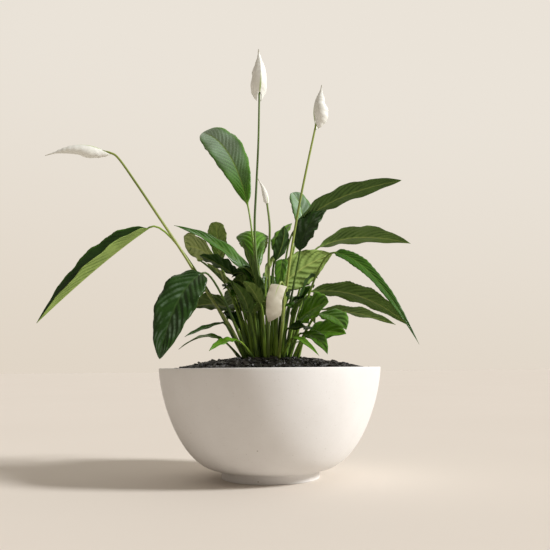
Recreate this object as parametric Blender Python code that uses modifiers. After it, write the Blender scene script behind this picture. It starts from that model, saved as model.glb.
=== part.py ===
"""Peace lily planted in a low round bowl with a small foot.

Metres, +Z up.  The origin is the centre of the foot's flat underside, -Y is the
front of the plant.  Heights in the two planting tables are counted from the
crown, the top of the mulch, and are in centimetres like the other places there.
"""
import math

import bmesh
import bpy
from mathutils import Matrix, Vector

# Bowl
BOWL_DIAMETER = 0.350
BOWL_HEIGHT = 0.171
RIM_WALL = 0.007
BOWL_WALL = 0.010
LOW_WALL = 0.022
FOOT_DIAMETER = 0.153
FOOT_HEIGHT = 0.014
FOOT_STEP = 0.003
FLOOR_THICKNESS = 0.022
EDGE_ROUND = 0.002
BOWL_FULLNESS = 1.55
TURNED_SEGMENTS = 40

# Planting bed
MULCH_DROP = 0.007
MULCH_RISE = 0.022
MULCH_DEPTH = 0.018
BED_CLEARANCE = 0.0010
GAP = 0.0003

# Plant
CM = 0.01
CLUMP_RADIUS = 0.046
CLUMP_SPREAD = 0.080
PETIOLE_RADIUS = 0.0021
NECK_RADIUS = 0.0014
LEAF_THICKNESS = 0.0012
LEAF_TIP_WIDTH = 0.0008
STALK_RADIUS = 0.0021
SPATHE_THICKNESS = 0.0008
SPADIX_RADIUS = 0.0030
SPADIX_SHARE = 0.42

# Name, neck, middle and tip of the blade as (x, y, height), width, roll in degrees.
# A positive roll lifts the blade's right-hand edge, seen from its neck.
LEAVES = [
    ("top_left_tall", (-3.5, 3.5, 25.5), (-7.0, 8.0, 36.0), (-12.3, 14.6, 42.2), 5.9, 45),
    ("far_left_arch", (-19.0, -3.0, 20.8), (-26.9, -3.6, 14.4), (-36.5, -3.0, 5.7), 3.8, 37),
    ("left_droop", (-10.0, -6.9, 12.9), (-13.3, -10.4, 8.3), (-15.6, -12.6, -0.2), 6.2, 35),
    ("left_long_narrow", (-1.8, -3.0, 10.8), (-7.0, -3.8, 17.0), (-15.0, -3.5, 21.0), 2.9, 40),
    ("left_back_round", (-8.4, 8.6, 16.6), (-8.9, 7.6, 20.2), (-9.1, 6.2, 23.5), 3.4, 0),
    ("left_mid_pale", (-8.8, 2.5, 16.2), (-11.9, 5.0, 18.6), (-14.6, 8.0, 19.4), 5.2, -60),
    ("left_mid_dark", (-5.0, -1.6, 12.8), (-7.6, -2.8, 14.6), (-10.8, -4.5, 16.0), 4.2, -10),
    ("centre_back", (-1.7, 4.0, 14.6), (-3.0, 8.6, 22.2), (-2.0, 14.0, 18.4), 5.6, 0),
    ("centre_pointed", (1.0, -3.2, 15.2), (2.2, -4.4, 18.0), (2.4, -5.6, 20.4), 2.6, 0),
    ("centre_pale", (1.0, 3.0, 17.5), (2.2, 4.8, 20.8), (4.0, 7.4, 23.4), 3.0, 0),
    ("right_back_blue", (5.0, 6.4, 21.4), (5.7, 8.0, 25.6), (4.2, 9.8, 29.4), 3.6, 0),
    ("right_upper_long", (4.2, 0.6, 20.8), (11.0, -0.6, 25.6), (21.6, -2.0, 28.4), 4.0, 12),
    ("right_dark_gloss", (5.0, -1.2, 17.0), (6.4, -1.4, 21.0), (9.4, -1.6, 23.6), 4.2, -60),
    ("right_high", (8.4, 5.8, 18.8), (15.8, 8.2, 20.9), (25.2, 11.0, 20.2), 5.6, 25),
    ("right_pale_wide", (1.6, 1.7, 11.4), (5.6, 2.2, 14.8), (10.6, 2.6, 17.2), 5.8, 75),
    ("right_droop", (10.4, -2.2, 16.6), (16.2, -5.0, 12.4), (22.4, -8.0, 1.7), 2.5, -45),
    ("right_mid", (6.6, 2.0, 10.8), (15.2, 4.5, 10.2), (23.4, 5.0, 5.2), 4.6, 28),
    ("right_low", (8.9, 6.0, 8.2), (15.3, 9.0, 7.7), (22.3, 12.0, 5.8), 3.2, 20),
    ("low_right_top", (4.4, -3.8, 5.6), (6.6, -5.8, 7.2), (9.0, -8.0, 8.2), 5.4, -60),
    ("low_right_front", (7.6, -5.5, 6.6), (9.8, -8.4, 5.8), (11.2, -11.5, 3.8), 3.8, -20),
    ("low_right_side", (6.0, -2.0, 3.6), (8.8, -3.4, 4.0), (11.8, -5.4, 3.5), 4.6, -45),
    ("low_right_hang", (4.8, -6.0, 3.6), (7.0, -9.0, 2.8), (8.4, -12.0, 0.3), 2.4, -20),
    ("low_left_back", (-6.6, 2.8, 8.4), (-9.8, 4.0, 9.1), (-13.0, 5.4, 8.6), 5.2, -30),
    ("low_left_front", (-7.2, -5.2, 5.4), (-9.7, -8.4, 4.4), (-12.2, -11.5, 3.0), 1.2, 20),
    ("low_left_side", (-7.4, 1.0, 2.8), (-11.0, 2.8, 3.6), (-15.2, 4.6, 1.6), 1.8, 20),
    ("low_left_hang", (-4.4, -7.0, 2.4), (-6.4, -9.6, 2.4), (-8.6, -12.4, 0.9), 1.8, 20),
    ("left_inner_dark", (-7.2, -3.8, 12.0), (-9.1, -5.0, 13.8), (-10.8, -6.4, 15.0), 2.2, 20),
    ("left_inner_olive", (-6.4, 0.6, 11.7), (-8.5, 0.3, 13.9), (-10.1, 0.0, 15.4), 2.2, -20),
    ("inner_dark_wide", (-2.9, -5.6, 6.6), (-3.8, -7.4, 9.2), (-5.2, -9.4, 11.0), 2.4, 0),
    ("inner_bright", (-1.2, -6.6, 8.0), (-2.4, -9.2, 10.0), (-3.6, -11.6, 11.0), 2.4, 0),
    ("inner_narrow", (-1.4, -4.8, 10.2), (-2.8, -5.8, 14.4), (-4.2, -6.8, 18.2), 1.8, 0),
    ("inner_hanging", (2.0, -5.6, 15.0), (1.9, -7.6, 13.4), (1.3, -8.6, 9.4), 2.0, 0),
    ("inner_pale", (-0.5, -1.5, 12.6), (0.3, -2.2, 15.0), (1.8, -2.6, 16.8), 1.8, 0),
    ("back_left_arch", (-3.6, 8.0, 10.6), (-6.0, 13.0, 11.2), (-8.0, 18.6, 7.2), 4.6, 0),
    ("back_right_arch", (3.6, 8.2, 10.0), (5.6, 13.4, 10.4), (8.4, 18.6, 6.4), 4.4, 0),
    ("back_low", (0.6, 7.6, 5.2), (0.4, 12.0, 5.2), (-1.0, 16.6, 2.6), 3.4, 0),
    ("inner_left_narrow", (-4.4, -3.4, 8.4), (-5.5, -4.6, 11.0), (-6.9, -6.0, 12.6), 2.0, 20),
    ("inner_right_dark", (3.6, -4.8, 6.0), (4.5, -6.6, 8.0), (5.6, -8.4, 8.8), 2.0, -20),
    ("low_right_thin", (3.4, -7.4, 2.8), (4.9, -9.8, 2.4), (7.2, -12.0, 0.1), 1.2, -20),
    ("soil_sprout", (3.0, 3.6, 1.4), (3.9, 4.8, 2.4), (5.0, 6.0, 2.7), 2.0, 0),
]

# How far the wings of a blade rise for each unit of width; most fold like a shallow trough.
FOLDS = {"far_left_arch": 1.35, "centre_back": -0.30, "left_back_round": 0.12, "left_mid_pale": 0.15,
         "right_pale_wide": 0.12, "left_droop": 0.22, "top_left_tall": 0.22}
# How soon a blade narrows to its tip: small numbers make it blunt.
TIPS = {"top_left_tall": 0.55, "left_back_round": 0.40, "left_mid_pale": 0.45, "centre_back": 0.50,
        "right_back_blue": 0.50, "right_upper_long": 0.80, "left_droop": 0.75, "low_right_top": 0.70,
        "left_mid_dark": 0.60}
# How soon a blade widens from its neck.
SHOULDERS = {"right_droop": 0.35, "left_droop": 0.60, "top_left_tall": 0.80}

# Name, route of the stalk from the crown up, tip of the spathe, its width,
# how far it wraps round in degrees, and the side its midrib faces.
FLOWERS = [
    ("centre", [(-0.9, 0.0, 0.0), (-1.2, 0.0, 9.5), (-2.0, 0.0, 15.0), (-2.3, 0.0, 21.5),
                (-2.0, 0.0, 28.0), (-1.6, 0.0, 36.0), (-1.4, 0.0, 44.4)],
     (-1.5, 0.4, 52.0), 2.6, 250, (0.0, -1.0, 0.0)),
    ("right", [(1.4, -2.0, 0.0), (2.4, -3.4, 8.0), (3.3, -4.0, 15.0), (4.7, -4.0, 23.0),
               (6.2, -4.0, 30.2), (7.9, -4.0, 37.8)],
     (8.8, -4.0, 43.8), 2.2, 250, (-0.9, -0.4, 0.0)),
    ("left", [(-3.6, -1.5, 0.0), (-6.2, -2.7, 5.0), (-9.8, -4.0, 10.4), (-13.3, -5.4, 16.2),
              (-17.8, -6.0, 23.0), (-20.6, -6.0, 27.2), (-23.4, -6.0, 31.2), (-26.0, -6.0, 32.6)],
     (-35.0, -6.0, 32.6), 1.7, 250, (0.0, 0.0, -1.0)),
    ("bud", [(-0.2, -3.6, 0.0), (0.0, -5.4, 8.0), (0.0, -6.0, 15.0), (0.2, -6.0, 20.0),
             (-0.2, -6.0, 24.0)],
     (-1.6, -6.0, 27.8), 0.9, 300, (0.6, -0.8, 0.0)),
    ("spent", [(1.4, -4.8, 0.0), (2.0, -7.4, 5.0), (2.3, -9.0, 9.6), (1.9, -10.2, 11.0),
               (1.4, -10.8, 10.1)],
     (1.0, -11.4, 5.4), 2.4, 150, (0.0, -1.0, 0.0)),
]

RIM_RADIUS = BOWL_DIAMETER / 2
MULCH_RADIUS = RIM_RADIUS - BOWL_WALL
MULCH_EDGE_Z = BOWL_HEIGHT - MULCH_DROP
CROWN_Z = MULCH_EDGE_Z + MULCH_RISE


def clear_scene():
    for old in list(bpy.data.objects):
        bpy.data.objects.remove(old, do_unlink=True)


def material(name, colour, roughness):
    made = bpy.data.materials.new(name)
    made.use_nodes = True
    shader = made.node_tree.nodes["Principled BSDF"]
    shader.inputs["Base Color"].default_value = (*colour, 1.0)
    shader.inputs["Roughness"].default_value = roughness
    shader.inputs["Metallic"].default_value = 0.0
    return made


def add_object(name, data, surface):
    made = bpy.data.objects.new(name, data)
    data.materials.append(surface)
    bpy.data.collections[COLLECTION].objects.link(made)
    return made


def mesh_from(name, points, faces):
    mesh = bpy.data.meshes.new(name)
    mesh.from_pydata(points, [], faces)
    mesh.update()
    return mesh


def turned(name, profile, surface, segments=None, closed=False):
    """Turn a profile of (radius, height), given down its outer side, about +Z."""
    points = [(radius, 0.0, height) for radius, height in profile]
    edges = [(i, i + 1) for i in range(len(points) - 1)]
    if closed:
        edges.append((len(points) - 1, 0))
    mesh = bpy.data.meshes.new(name)
    mesh.from_pydata(points, edges, [])
    made = add_object(name, mesh, surface)
    screw = made.modifiers.new("Turn", "SCREW")
    screw.axis = "Z"
    screw.steps = segments or TURNED_SEGMENTS
    screw.render_steps = screw.steps
    screw.use_merge_vertices = True
    screw.merge_threshold = 0.00005
    screw.use_smooth_shade = True
    return made


def bowl_radius(height):
    """Radius of the bowl's outer side at a height."""
    depth = (BOWL_HEIGHT - height) / (BOWL_HEIGHT - FOOT_HEIGHT)
    bottom = FOOT_DIAMETER / 2 + FOOT_STEP
    return bottom + (RIM_RADIUS - bottom) * math.sqrt(1.0 - min(1.0, depth ** BOWL_FULLNESS))


def inner_radius(height):
    """Radius inside the wall, which measured level thickens where the side slopes in."""
    share = (BOWL_HEIGHT - height) / (BOWL_HEIGHT - FOOT_HEIGHT)
    slope_in = LOW_WALL * share ** 4
    return bowl_radius(height) - RIM_WALL - (BOWL_WALL - RIM_WALL) * share - slope_in


def falling_heights(top, low, count):
    """Heights from top to low, closer together near the bottom."""
    return [low + (top - low) * (1 - math.sin(math.pi / 2 * i / count)) for i in range(count + 1)]


def build_bowl():
    foot = FOOT_DIAMETER / 2
    lip_z = BOWL_HEIGHT - EDGE_ROUND
    outer = [(bowl_radius(z), z) for z in falling_heights(lip_z, FOOT_HEIGHT, 12)]
    inner = [(inner_radius(z), z) for z in falling_heights(lip_z, FLOOR_THICKNESS, 10)]
    profile = [(outer[0][0] - EDGE_ROUND, BOWL_HEIGHT)] + outer
    profile += [(foot, FOOT_HEIGHT - FOOT_STEP), (foot, EDGE_ROUND), (foot - EDGE_ROUND, 0.0)]
    profile += [(0.0, 0.0), (0.0, FLOOR_THICKNESS)] + inner[::-1]
    profile += [(inner[0][0] + EDGE_ROUND, BOWL_HEIGHT)]
    surface = material("bowl_stone", (0.82, 0.79, 0.75), 0.75)
    turned("planter_bowl", profile, surface, closed=True)


def mulch_height(radius):
    share = min(1.0, radius / MULCH_RADIUS)
    return MULCH_EDGE_Z + MULCH_RISE * (1.0 - share ** 2)


def domed(edge_radius, edge_z, count):
    """A low dome from its middle out to its edge."""
    shares = [i / count for i in range(count + 1)]
    return [(edge_radius * share, edge_z + MULCH_RISE * (1 - share ** 2)) for share in shares]


def build_soil():
    top = MULCH_EDGE_Z - MULCH_DEPTH
    low = FLOOR_THICKNESS + GAP
    side = [(inner_radius(z) - BED_CLEARANCE, z) for z in falling_heights(top, low, 7)]
    profile = domed(side[0][0], top, 4)[:-1] + side + [(0.0, low)]
    turned("potting_soil", profile, material("soil", (0.06, 0.045, 0.035), 0.95))


def build_mulch():
    low = MULCH_EDGE_Z - MULCH_DEPTH + GAP
    upper = domed(inner_radius(MULCH_EDGE_Z) - BED_CLEARANCE, MULCH_EDGE_Z, 9)
    under = domed(inner_radius(low) - BED_CLEARANCE, low, 4)
    turned("bark_mulch", upper + under[::-1], material("bark", (0.035, 0.028, 0.024), 0.9))


def bed_height(point):
    return mulch_height(math.hypot(point.x, point.y)) + GAP


def place(spot):
    """A place in the tables as a vector, its height counted from the crown."""
    return Vector((spot[0] * CM, spot[1] * CM, spot[2] * CM + CROWN_Z))


def foot_of(neck):
    """Where a leaf leaves the clump: towards its neck, farther out the more it leans."""
    reach = math.hypot(neck.x, neck.y)
    lean = reach / (reach + neck.z - CROWN_Z)
    out = Vector((neck.x, neck.y, 0.0)).normalized() * min(CLUMP_RADIUS, CLUMP_SPREAD * lean)
    return Vector((out.x, out.y, bed_height(out)))


def blade_point(neck, middle, tip, t):
    return (neck * (1 - t) * (1 - 2 * t)) + (middle * 4 * t * (1 - t)) + (tip * t * (2 * t - 1))


def petiole_point(foot, bend, blend, neck, t):
    s = 1 - t
    return foot * s ** 3 + bend * 3 * s * s * t + blend * 3 * s * t * t + neck * t ** 3


def blade_half_width(name, width, t):
    """Widest a little below the middle and drawn out to a fine tip."""
    rise = SHOULDERS.get(name, BLADE_RISE)
    fall = TIPS.get(name, BLADE_FALL)
    widest = rise / (rise + fall)
    peak = widest ** rise * (1 - widest) ** fall
    shape = t ** rise * (1 - t) ** fall
    return max(width / 2 * shape / peak, LEAF_TIP_WIDTH / 2)


BLADE_RISE = 0.75
BLADE_FALL = 1.00
BLADE_FOLD = 0.30
PETIOLE_STEPS = [0.0, 0.35, 0.65, 0.85, 0.94]
BLADE_STEPS = [0.0, 0.06, 0.17, 0.31, 0.46, 0.61, 0.76, 0.89, 1.0]


def leaf_stations(name, neck, middle, tip, width):
    """Centre, half width, half thickness and flatness of each ring of a leaf."""
    foot = foot_of(neck)
    length = (neck - foot).length
    start = (blade_point(neck, middle, tip, 0.05) - neck).normalized()
    bend = foot + (neck - foot) * 0.3 + Vector((0, 0, length * 0.10))
    blend = neck - start * length * 0.14
    rings = []
    for t in PETIOLE_STEPS:
        radius = PETIOLE_RADIUS + (NECK_RADIUS - PETIOLE_RADIUS) * t
        rings.append((petiole_point(foot, bend, blend, neck, t), radius, radius, 0.0))
    for t in BLADE_STEPS:
        half = max(blade_half_width(name, width, t), NECK_RADIUS * (1 - t))
        thick = NECK_RADIUS + (LEAF_THICKNESS / 2 - NECK_RADIUS) * min(1.0, t / 0.25)
        centre = blade_point(neck, middle, tip, t)
        rings.append((centre, half, thick * (1 - t / 2), min(1.0, t / 0.1)))
    return rings


def ring_points(centre, side, normal, half, thick, flat, slope):
    """Eight points: round for the petiole, a shallow V with thin edges for the blade."""
    wing = slope * half
    fold = wing * 0.40
    vee = [(1.0, wing, 0.0), (0.52, fold, 0.85), (0.0, 0.0, 1.0), (-0.52, fold, 0.85),
           (-1.0, wing, 0.0), (-0.52, fold, -0.85), (0.0, 0.0, -1.0), (0.52, fold, -0.85)]
    points = []
    for index, (across, lift, skin) in enumerate(vee):
        angle = math.pi / 4 * index
        x = half * (math.cos(angle) * (1 - flat) + across * flat)
        z = thick * (math.sin(angle) * (1 - flat) + skin * flat) + lift * flat
        points.append(centre + side * x + normal * z)
    return points


def leaf_mesh(name, neck, middle, tip, width, roll):
    rings = leaf_stations(name, neck, middle, tip, width)
    slope = FOLDS.get(name, BLADE_FOLD)
    centres = [ring[0] for ring in rings]
    heading = Vector((tip.x - neck.x, tip.y - neck.y, 0.0)).normalized()
    across = Vector((heading.y, -heading.x, 0.0))
    points = []
    last = len(rings) - 1
    for index, (centre, half, thick, flat) in enumerate(rings):
        tangent = (centres[min(index + 1, last)] - centres[max(index - 1, 0)]).normalized()
        side = (across - tangent * across.dot(tangent)).normalized()
        side = Matrix.Rotation(math.radians(-roll), 3, tangent) @ side
        normal = side.cross(tangent)
        points += ring_points(centre, side, normal, half, thick, flat, slope)
    for index in range(8):
        points[index].z = bed_height(points[index])
    faces = [tuple(range(7, -1, -1)), tuple(range(last * 8, last * 8 + 8))]
    for ring in range(last):
        for k in range(8):
            a = ring * 8 + k
            b = ring * 8 + (k + 1) % 8
            faces.append((a, b, b + 8, a + 8))
    return mesh_from(name, points, faces)


def build_leaves():
    for name, neck, middle, tip, width, roll in LEAVES:
        surface = material("leaf_" + name, (0.045, 0.145, 0.025), 0.35)
        mesh = leaf_mesh("leaf_" + name, place(neck), place(middle), place(tip), width * CM, roll)
        face_outward(mesh)
        add_object("leaf_" + name, mesh, surface)


def face_outward(mesh):
    work = bmesh.new()
    work.from_mesh(mesh)
    bmesh.ops.recalc_face_normals(work, faces=work.faces)
    work.to_mesh(mesh)
    work.free()


def smooth_route(points, per_span):
    """Catmull-Rom curve through the route's points."""
    ends = [points[0] * 2 - points[1]] + points + [points[-1] * 2 - points[-2]]
    route = []
    for i in range(1, len(ends) - 2):
        a, b, c, d = ends[i - 1:i + 3]
        for step in range(per_span):
            t = step / per_span
            route.append(0.5 * ((b * 2) + (c - a) * t + (a * 2 - b * 5 + c * 4 - d) * t ** 2
                                + (b * 3 - a - c * 3 + d) * t ** 3))
    return route + [points[-1]]


def stalk_route(route):
    """Smooth stalk that leaves the mulch upright and stands on it."""
    points = [place(spot) for spot in route]
    inward = max(0.0, math.hypot(points[0].x, points[0].y) - STALK_RADIUS)
    points[0].z = mulch_height(inward) + GAP
    path = smooth_route(points, 3)
    path.insert(1, path[0] + Vector((0, 0, 3 * STALK_RADIUS)))
    return path


def build_stalk(name, path):
    curve = bpy.data.curves.new("stalk_" + name, "CURVE")
    curve.dimensions = "3D"
    curve.bevel_depth = STALK_RADIUS
    curve.bevel_resolution = 2
    curve.use_fill_caps = True
    spline = curve.splines.new("POLY")
    spline.points.add(len(path) - 1)
    for point, spot in zip(spline.points, path):
        point.co = (*spot, 1.0)
    add_object("stalk_" + name, curve, material("stalk_" + name, (0.30, 0.42, 0.08), 0.45))


SPATHE_ROWS = [0.0, 0.06, 0.14, 0.25, 0.38, 0.52, 0.66, 0.80, 0.91, 1.0]
SPATHE_COLUMNS = 8
SPATHE_FULLEST = 0.34
SPATHE_SLEEVE = 0.004


def spathe_radius(half_width, t):
    """Tight round the stalk at the base, full a third of the way up, fine at the tip."""
    sleeve = STALK_RADIUS + 2 * GAP
    if t < SPATHE_FULLEST:
        shape = (t / SPATHE_FULLEST) ** 0.8
    else:
        shape = ((1 - t) / (1 - SPATHE_FULLEST)) ** 0.9
    narrow = sleeve * (1 - t)
    return narrow + max(0.0, half_width - narrow) * shape + SPATHE_THICKNESS / 2 * t


def spathe_mesh(name, base, along, tip, half_width, wrap, facing):
    """A pointed sheet curled round its own axis and open on the side away from its midrib."""
    length = (tip - base).length
    middle = base + along * length * 0.5
    points = []
    for t in SPATHE_ROWS:
        centre = base * (1 - t) ** 2 + middle * 2 * t * (1 - t) + tip * t * t
        tangent = ((middle - base) * (1 - t) + (tip - middle) * t).normalized()
        back = (facing - tangent * facing.dot(tangent)).normalized()
        side = tangent.cross(back)
        radius = spathe_radius(half_width, t)
        spread = math.radians(wrap / 2) * (1 - 0.35 * t)
        for column in range(SPATHE_COLUMNS + 1):
            angle = spread * (2 * column / SPATHE_COLUMNS - 1)
            points.append(centre + back * radius * math.cos(angle) + side * radius * math.sin(angle))
    width = SPATHE_COLUMNS + 1
    faces = []
    for row in range(len(SPATHE_ROWS) - 1):
        for column in range(SPATHE_COLUMNS):
            a = row * width + column
            faces.append((a, a + 1, a + width + 1, a + width))
    return mesh_from(name, points, faces)


def build_spathe(name, path, tip, width, wrap, facing):
    along = (path[-1] - path[-2]).normalized()
    base = path[-1] - along * SPATHE_SLEEVE
    full_name = "spathe_" + name
    mesh = spathe_mesh(full_name, base, along, place(tip), width * CM / 2, wrap, Vector(facing))
    made = add_object(full_name, mesh, material(full_name, (0.85, 0.84, 0.72), 0.5))
    shell = made.modifiers.new("Sheet", "SOLIDIFY")
    shell.thickness = SPATHE_THICKNESS
    shell.offset = 1.0


def build_spadix(name, path, length, radius):
    """A blunt rod that stands on the end of the stalk."""
    profile = [(0.0, length)]
    for i in range(1, 4):
        angle = math.pi / 2 * i / 3
        profile.append((radius * math.sin(angle), length - radius + radius * math.cos(angle)))
    foot = min(radius, STALK_RADIUS)
    profile += [(radius, radius), (foot, 0.0), (0.0, 0.0)]
    surface = material("spadix_" + name, (0.80, 0.78, 0.50), 0.7)
    made = turned("spadix_" + name, profile, surface, segments=10)
    along = (path[-1] - path[-2]).normalized()
    made.location = path[-1] + along * GAP
    made.rotation_mode = "QUATERNION"
    made.rotation_quaternion = along.to_track_quat("Z", "Y")


def build_flowers():
    for name, route, tip, width, wrap, facing in FLOWERS:
        path = stalk_route(route)
        build_stalk(name, path)
        build_spathe(name, path, tip, width, wrap, facing)
        length = (place(tip) - path[-1]).length * SPADIX_SHARE
        radius = min(SPADIX_RADIUS, width * CM / 2 * SPADIX_SHARE)
        build_spadix(name, path, length, radius)


COLLECTION = "potted_peace_lily"
clear_scene()
bpy.context.scene.collection.children.link(bpy.data.collections.new(COLLECTION))
build_bowl()
build_soil()
build_mulch()
build_leaves()
build_flowers()
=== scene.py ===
"""Looks of the potted peace lily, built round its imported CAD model.

Metres, +Z up, -Y towards the camera.  The planting tables are those of the CAD
source: heights count from the crown, the top of the mulch, in centimetres.
"""
import math
import random

import bpy
from mathutils import Matrix, Vector, noise


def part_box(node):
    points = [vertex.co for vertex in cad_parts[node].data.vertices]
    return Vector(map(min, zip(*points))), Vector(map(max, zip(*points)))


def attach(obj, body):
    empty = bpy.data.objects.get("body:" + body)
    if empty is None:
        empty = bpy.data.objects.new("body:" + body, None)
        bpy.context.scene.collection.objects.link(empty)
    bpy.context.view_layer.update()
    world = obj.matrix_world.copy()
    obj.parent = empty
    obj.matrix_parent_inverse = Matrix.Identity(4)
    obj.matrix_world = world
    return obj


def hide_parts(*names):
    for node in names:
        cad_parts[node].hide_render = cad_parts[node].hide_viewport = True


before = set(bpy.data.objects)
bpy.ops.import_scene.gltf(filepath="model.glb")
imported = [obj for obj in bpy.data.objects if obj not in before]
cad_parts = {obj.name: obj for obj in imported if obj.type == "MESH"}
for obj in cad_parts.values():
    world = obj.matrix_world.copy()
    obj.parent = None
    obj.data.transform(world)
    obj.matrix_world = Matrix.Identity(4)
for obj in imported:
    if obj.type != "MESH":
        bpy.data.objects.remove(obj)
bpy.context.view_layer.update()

CM = 0.01
MM = 0.001

# Name, neck, middle and tip of the blade as (x, y, height), width, roll in degrees.
LEAVES = [
    ("top_left_tall", (-3.5, 3.5, 25.5), (-7.0, 8.0, 36.0), (-12.3, 14.6, 42.2), 5.9, 45),
    ("far_left_arch", (-19.0, -3.0, 20.8), (-26.9, -3.6, 14.4), (-36.5, -3.0, 5.7), 3.8, 37),
    ("left_droop", (-10.0, -6.9, 12.9), (-13.3, -10.4, 8.3), (-15.6, -12.6, -0.2), 6.2, 35),
    ("left_long_narrow", (-1.8, -3.0, 10.8), (-7.0, -3.8, 17.0), (-15.0, -3.5, 21.0), 2.9, 40),
    ("left_back_round", (-8.4, 8.6, 16.6), (-8.9, 7.6, 20.2), (-9.1, 6.2, 23.5), 3.4, 0),
    ("left_mid_pale", (-8.8, 2.5, 16.2), (-11.9, 5.0, 18.6), (-14.6, 8.0, 19.4), 5.2, -60),
    ("left_mid_dark", (-5.0, -1.6, 12.8), (-7.6, -2.8, 14.6), (-10.8, -4.5, 16.0), 4.2, -10),
    ("centre_back", (-1.7, 4.0, 14.6), (-3.0, 8.6, 22.2), (-2.0, 14.0, 18.4), 5.6, 0),
    ("centre_pointed", (1.0, -3.2, 15.2), (2.2, -4.4, 18.0), (2.4, -5.6, 20.4), 2.6, 0),
    ("centre_pale", (1.0, 3.0, 17.5), (2.2, 4.8, 20.8), (4.0, 7.4, 23.4), 3.0, 0),
    ("right_back_blue", (5.0, 6.4, 21.4), (5.7, 8.0, 25.6), (4.2, 9.8, 29.4), 3.6, 0),
    ("right_upper_long", (4.2, 0.6, 20.8), (11.0, -0.6, 25.6), (21.6, -2.0, 28.4), 4.0, 12),
    ("right_dark_gloss", (5.0, -1.2, 17.0), (6.4, -1.4, 21.0), (9.4, -1.6, 23.6), 4.2, -60),
    ("right_high", (8.4, 5.8, 18.8), (15.8, 8.2, 20.9), (25.2, 11.0, 20.2), 5.6, 25),
    ("right_pale_wide", (1.6, 1.7, 11.4), (5.6, 2.2, 14.8), (10.6, 2.6, 17.2), 5.8, 75),
    ("right_droop", (10.4, -2.2, 16.6), (16.2, -5.0, 12.4), (22.4, -8.0, 1.7), 2.5, -45),
    ("right_mid", (6.6, 2.0, 10.8), (15.2, 4.5, 10.2), (23.4, 5.0, 5.2), 4.6, 28),
    ("right_low", (8.9, 6.0, 8.2), (15.3, 9.0, 7.7), (22.3, 12.0, 5.8), 3.2, 20),
    ("low_right_top", (4.4, -3.8, 5.6), (6.6, -5.8, 7.2), (9.0, -8.0, 8.2), 5.4, -60),
    ("low_right_front", (7.6, -5.5, 6.6), (9.8, -8.4, 5.8), (11.2, -11.5, 3.8), 3.8, -20),
    ("low_right_side", (6.0, -2.0, 3.6), (8.8, -3.4, 4.0), (11.8, -5.4, 3.5), 4.6, -45),
    ("low_right_hang", (4.8, -6.0, 3.6), (7.0, -9.0, 2.8), (8.4, -12.0, 0.3), 2.4, -20),
    ("low_left_back", (-6.6, 2.8, 8.4), (-9.8, 4.0, 9.1), (-13.0, 5.4, 8.6), 5.2, -30),
    ("low_left_front", (-7.2, -5.2, 5.4), (-9.7, -8.4, 4.4), (-12.2, -11.5, 3.0), 1.2, 20),
    ("low_left_side", (-7.4, 1.0, 2.8), (-11.0, 2.8, 3.6), (-15.2, 4.6, 1.6), 1.8, 20),
    ("low_left_hang", (-4.4, -7.0, 2.4), (-6.4, -9.6, 2.4), (-8.6, -12.4, 0.9), 1.8, 20),
    ("left_inner_dark", (-7.2, -3.8, 12.0), (-9.1, -5.0, 13.8), (-10.8, -6.4, 15.0), 2.2, 20),
    ("left_inner_olive", (-6.4, 0.6, 11.7), (-8.5, 0.3, 13.9), (-10.1, 0.0, 15.4), 2.2, -20),
    ("inner_dark_wide", (-2.9, -5.6, 6.6), (-3.8, -7.4, 9.2), (-5.2, -9.4, 11.0), 2.4, 0),
    ("inner_bright", (-1.2, -6.6, 8.0), (-2.4, -9.2, 10.0), (-3.6, -11.6, 11.0), 2.4, 0),
    ("inner_narrow", (-1.4, -4.8, 10.2), (-2.8, -5.8, 14.4), (-4.2, -6.8, 18.2), 1.8, 0),
    ("inner_hanging", (2.0, -5.6, 15.0), (1.9, -7.6, 13.4), (1.3, -8.6, 9.4), 2.0, 0),
    ("inner_pale", (-0.5, -1.5, 12.6), (0.3, -2.2, 15.0), (1.8, -2.6, 16.8), 1.8, 0),
    ("back_left_arch", (-3.6, 8.0, 10.6), (-6.0, 13.0, 11.2), (-8.0, 18.6, 7.2), 4.6, 0),
    ("back_right_arch", (3.6, 8.2, 10.0), (5.6, 13.4, 10.4), (8.4, 18.6, 6.4), 4.4, 0),
    ("back_low", (0.6, 7.6, 5.2), (0.4, 12.0, 5.2), (-1.0, 16.6, 2.6), 3.4, 0),
    ("inner_left_narrow", (-4.4, -3.4, 8.4), (-5.5, -4.6, 11.0), (-6.9, -6.0, 12.6), 2.0, 20),
    ("inner_right_dark", (3.6, -4.8, 6.0), (4.5, -6.6, 8.0), (5.6, -8.4, 8.8), 2.0, -20),
    ("low_right_thin", (3.4, -7.4, 2.8), (4.9, -9.8, 2.4), (7.2, -12.0, 0.1), 1.2, -20),
    ("soil_sprout", (3.0, 3.6, 1.4), (3.9, 4.8, 2.4), (5.0, 6.0, 2.7), 2.0, 0),
]

# How far the wings of a blade rise for each unit of width; most fold like a shallow trough.
FOLDS = {"far_left_arch": 1.35, "centre_back": -0.30, "left_back_round": 0.12,
         "left_mid_pale": 0.15, "right_pale_wide": 0.12, "left_droop": 0.22, "top_left_tall": 0.22}
# How soon a blade narrows to its tip: small numbers make it blunt.
TIPS = {"top_left_tall": 0.55, "left_back_round": 0.40, "left_mid_pale": 0.45,
        "centre_back": 0.50, "right_back_blue": 0.50, "right_upper_long": 0.80,
        "left_droop": 0.75, "low_right_top": 0.70, "left_mid_dark": 0.60}
# How soon a blade widens from its neck.
SHOULDERS = {"right_droop": 0.35, "left_droop": 0.60, "top_left_tall": 0.80}

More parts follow.
